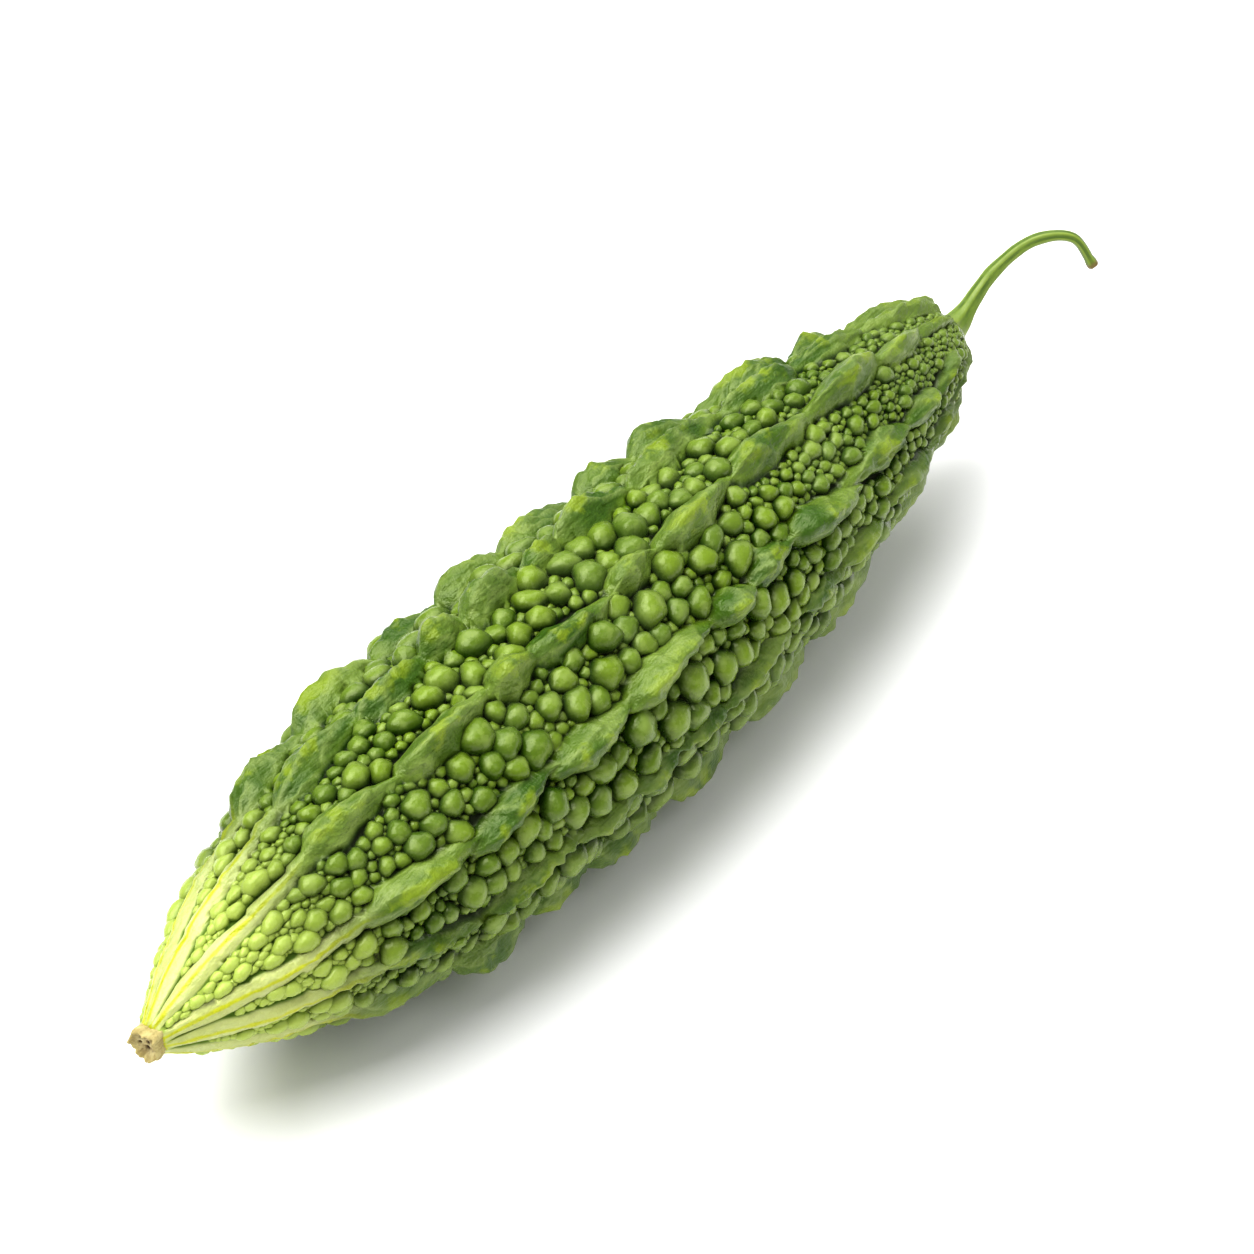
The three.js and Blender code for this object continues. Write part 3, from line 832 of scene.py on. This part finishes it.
def fruit_finish():
    """Waxy olive-green skin: painted shade makes it nearly black in the creases and darker towards the warts'
    feet, and the wart tops are lighter, partly their own tone and partly a painted highlight; yellow-green on
    the fins' crests, a grey bloom in patches that is partly a painted sheen, and pale ribs with a yellow
    middle line towards the blossom end."""
    f = Finish("waxy_green_skin")
    crown, fin, tint = f.field("crown"), f.field("fin"), f.field("tint")
    along, aside, vein = f.field("along"), f.field("aside"), f.field("vein")
    where = f.place()
    broad = f.noise(where, 45.0, 2.0)
    fine = f.noise(where, 420.0, 4.0)
    streaks = f.noise(f.place((0.16, 1, 1)), 800.0, 2.0)

    # Wart colour by height: nearly black at a wart's foot, which is painted shade towards the creases, up to
    # light green at its top, partly the skin's own tone and partly a painted highlight.
    wart = f.mix(f.span(crown, 0.4, 1.05), paint(8, 36, 0), paint(112, 137, 28))
    wart = f.mix(f.times(f.span(tint, 0.1, 1.0), 0.5), wart, paint(40, 74, 0))
    # Pale mottling on the wart tops: partly the skin's own mottling, partly a painted highlight.
    mottle = f.times(f.span(fine, 0.44, 0.66), f.span(crown, 0.5, 0.95, 0.0, 0.4))
    wart = f.mix(mottle, wart, paint(140, 158, 84))
    fin_color = f.mix(f.span(broad, 0.38, 0.64), paint(46, 80, 2), paint(90, 114, 28))
    fin_color = f.mix(f.times(vein, 0.42), fin_color, paint(150, 166, 94))
    fin_color = f.mix(f.times(f.span(streaks, 0.46, 0.66), 0.35), fin_color, paint(46, 78, 2))
    body = f.mix(f.span(fin, 0.1, 0.5), wart, fin_color)
    patch = f.span(f.noise(where, 240.0, 3.0), 0.36, 0.66, 0.6, 1.2)
    crest = f.span(f.times(fin, patch), 0.6, 1.05)
    body = f.mix(f.times(crest, 0.6), body, paint(132, 152, 16))
    # Grey bloom in patches: partly the skin's own waxy bloom, partly a painted sheen.
    bloom = f.span(f.plus(broad, f.times(along, 0.1)), 0.46, 0.7)
    body = f.mix(f.times(bloom, 0.2), body, paint(116, 136, 72))
    neck = f.span(along, 0.9, 1.0)
    body = f.mix(f.times(neck, 0.5), body, paint(112, 132, 58))
    # Painted shade: the creases, where crown is low, are darkened to nearly black.
    body = f.mix(f.span(crown, 0.46, 0.08), body, paint(6, 22, 0))

    # Pale warts near the blossom end: darker towards their feet, partly painted shade, and lighter at their
    # tops.
    pale_wart = f.mix(f.span(crown, 0.05, 0.8), paint(74, 106, 10), paint(164, 182, 84))
    middle = f.node("ShaderNodeMath", i0=aside, settings={"operation": "ABSOLUTE"})
    line = f.span(f.plus(middle, f.times(fine, 0.5)), 0.76, 0.34)
    rib = f.mix(f.times(vein, 0.5), paint(178, 186, 112), paint(200, 206, 156))
    rib = f.mix(line, rib, paint(180, 184, 34))
    pale = f.mix(f.span(fin, 0.05, 0.2), pale_wart, rib)
    fade = f.span(f.plus(along, f.times(broad, 0.14)), 0.25, 0.12)
    body = f.mix(fade, body, pale)
    rough = f.plus(f.span(fine, 0.3, 0.7, 0.2, 0.33), f.span(crown, 0.4, 0.1, 0.0, 0.5))
    rough = f.plus(rough, f.times(f.span(fin, 0.2, 0.6), 0.1))
    f.set(Base_Color=body, Roughness=rough)
    f.set(Subsurface_Weight=0.12, Subsurface_Radius=(0.8, 1.0, 0.2), Subsurface_Scale=0.001)
    f.set(Specular_IOR_Level=0.45, Specular_Tint=(0.93, 1.0, 0.62, 1))
    f.set(Sheen_Weight=0.03, Sheen_Roughness=0.4, Sheen_Tint=(0.8, 0.95, 0.45, 1))
    grain = f.times(f.noise(where, 1100.0, 3.0), f.span(fin, 0.1, 0.5, 0.35, 1.0))
    creases = f.times(streaks, f.span(fin, 0.1, 0.5, 0.4, 1.6))
    f.bump(f.plus(grain, creases), 0.7, 0.0004)
    return f.material


def stem_finish():
    """Yellow-green stalk with fine lengthwise streaks, paler at its base and brown at the cut."""
    f = Finish("green_stalk")
    along, cut, rib = f.field("along"), f.field("cut"), f.field("rib")
    streak = f.noise(f.place(), 260.0, 3.0)
    green = f.mix(f.span(rib, 0.0, 1.0), paint(74, 100, 16), paint(122, 142, 48))
    green = f.mix(f.span(streak, 0.4, 0.7), green, paint(104, 128, 30))
    green = f.mix(f.span(along, 0.16, 0.0), green, paint(124, 142, 66))
    f.set(Base_Color=f.mix(cut, green, paint(112, 92, 40)), Roughness=f.span(streak, 0.3, 0.7, 0.38, 0.55))
    f.set(Subsurface_Weight=0.15, Subsurface_Radius=(0.7, 1.0, 0.3), Subsurface_Scale=0.001)
    f.bump(f.noise(f.place(), 700.0, 3.0), 0.2, 0.0003)
    return f.material


def dried_flower_finish():
    """Dry tan tissue, darker in its pores and mottled."""
    f = Finish("dried_flower")
    pore, rim = f.field("pore"), f.field("rim")
    mottle = f.noise(f.place(), 900.0, 4.0)
    tan = f.mix(f.span(mottle, 0.35, 0.65), paint(148, 130, 84), paint(196, 184, 134))
    tan = f.mix(f.times(f.span(rim, 0.2, 1.0), 0.45), tan, paint(170, 156, 84))
    tissue = f.mix(f.span(pore, 0.1, 0.8), tan, paint(62, 40, 16))
    f.set(Base_Color=tissue, Roughness=f.span(mottle, 0.3, 0.7, 0.7, 0.9))
    f.bump(mottle, 0.6, 0.0005)
    return f.material


def floor_finish():
    """Plain matt white."""
    f = Finish("white_floor")
    f.set(Base_Color=(0.86, 0.86, 0.86, 1), Roughness=0.9)
    return f.material


# ---------------------------------------------------------------- stage


def lay_floor():
    """A square floor, small enough that a low view sees the room's white walls behind the gourd."""
    mesh = bpy.data.meshes.new("floor")
    half = FLOOR_HALF
    corners = [(-half, -half, 0), (half, -half, 0), (half, half, 0), (-half, half, 0)]
    mesh.from_pydata(corners, [], [(0, 1, 2, 3)])
    floor = bpy.data.objects.new("floor", mesh)
    bpy.context.scene.collection.objects.link(floor)
    floor.data.materials.append(floor_finish())


def aimed(name, data, azimuth, elevation, distance, aim):
    """A lamp or camera that faces a point from a bearing, a height in degrees and a distance."""
    a, e = np.radians(azimuth), np.radians(elevation)
    away = Vector((np.sin(a) * np.cos(e), -np.cos(a) * np.cos(e), np.sin(e)))
    holder = bpy.data.objects.new(name, data)
    holder.location = aim + away * distance
    holder.rotation_euler = away.to_track_quat("Z", "Y").to_euler()
    bpy.context.scene.collection.objects.link(holder)
    return holder


def soft_light(name, azimuth, elevation, distance, size, watts, aim):
    """A square lamp, with its size in metres."""
    lamp = bpy.data.lights.new(name, "AREA")
    lamp.size = size
    lamp.energy = watts
    aimed(name, lamp, azimuth, elevation, distance, aim)


def set_camera(low, high):
    """A long lens that looks along the fruit from its blossom end, at the middle of the gourd."""
    eye = bpy.data.cameras.new("camera")
    eye.lens = CAMERA_LENS
    eye.sensor_width = 36
    place = (CAMERA_AZIMUTH, CAMERA_ELEVATION, CAMERA_DISTANCE)
    bpy.context.scene.camera = aimed("camera", eye, *place, (low + high) / 2)


def light_stage(aim):
    """Three broad lamps in a pale room whose walls are seen as plain white."""
    world = bpy.data.worlds.new("room")
    world.use_nodes = True
    tree = world.node_tree
    sky = tree.nodes["Background"]
    sky.inputs["Color"].default_value = (1, 1, 1, 1)
    seen = tree.nodes.new("ShaderNodeMapRange")
    tree.links.new(tree.nodes.new("ShaderNodeLightPath").outputs["Is Camera Ray"], seen.inputs["Value"])
    seen.inputs["To Min"].default_value = ROOM_LIGHT
    seen.inputs["To Max"].default_value = ROOM_SEEN
    tree.links.new(seen.outputs["Result"], sky.inputs["Strength"])
    bpy.context.scene.world = world
    for lamp in LAMPS:
        soft_light(*lamp, aim)


set_camera(*[Vector(c) for c in cad_box])
bpy.context.scene.view_settings.view_transform = "Standard"
bpy.context.scene.view_settings.gamma = PICTURE_GAMMA
light_stage((Vector(cad_box[0]) + Vector(cad_box[1])) / 2)
lay_floor()

fruit_low = np.array(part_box("fruit")[0]) / MM
scar_low, scar_high = [np.array(c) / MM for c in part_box("blossom_scar")]
roll = resting_roll()
tip = np.array([fruit_low[0], (scar_low[1] + scar_high[1]) / 2, -lowest_of_row(0, roll) - PRESSED_FLAT])
neck = tip + (FRUIT_LENGTH, 0, 0)

skin = build_fruit(tip, neck, roll)
stalk = build_stem(neck)
remains = build_scar(tip)
for piece, finish, node, slot in (
    (skin, fruit_finish(), "fruit", "fruit_skin"),
    (stalk, stem_finish(), "stem", "stem_skin"),
    (remains, dried_flower_finish(), "blossom_scar", "dried_flower"),
):
    piece.data.materials.clear()
    piece.data.materials.append(finish)
    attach(piece, "root")
    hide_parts(node)
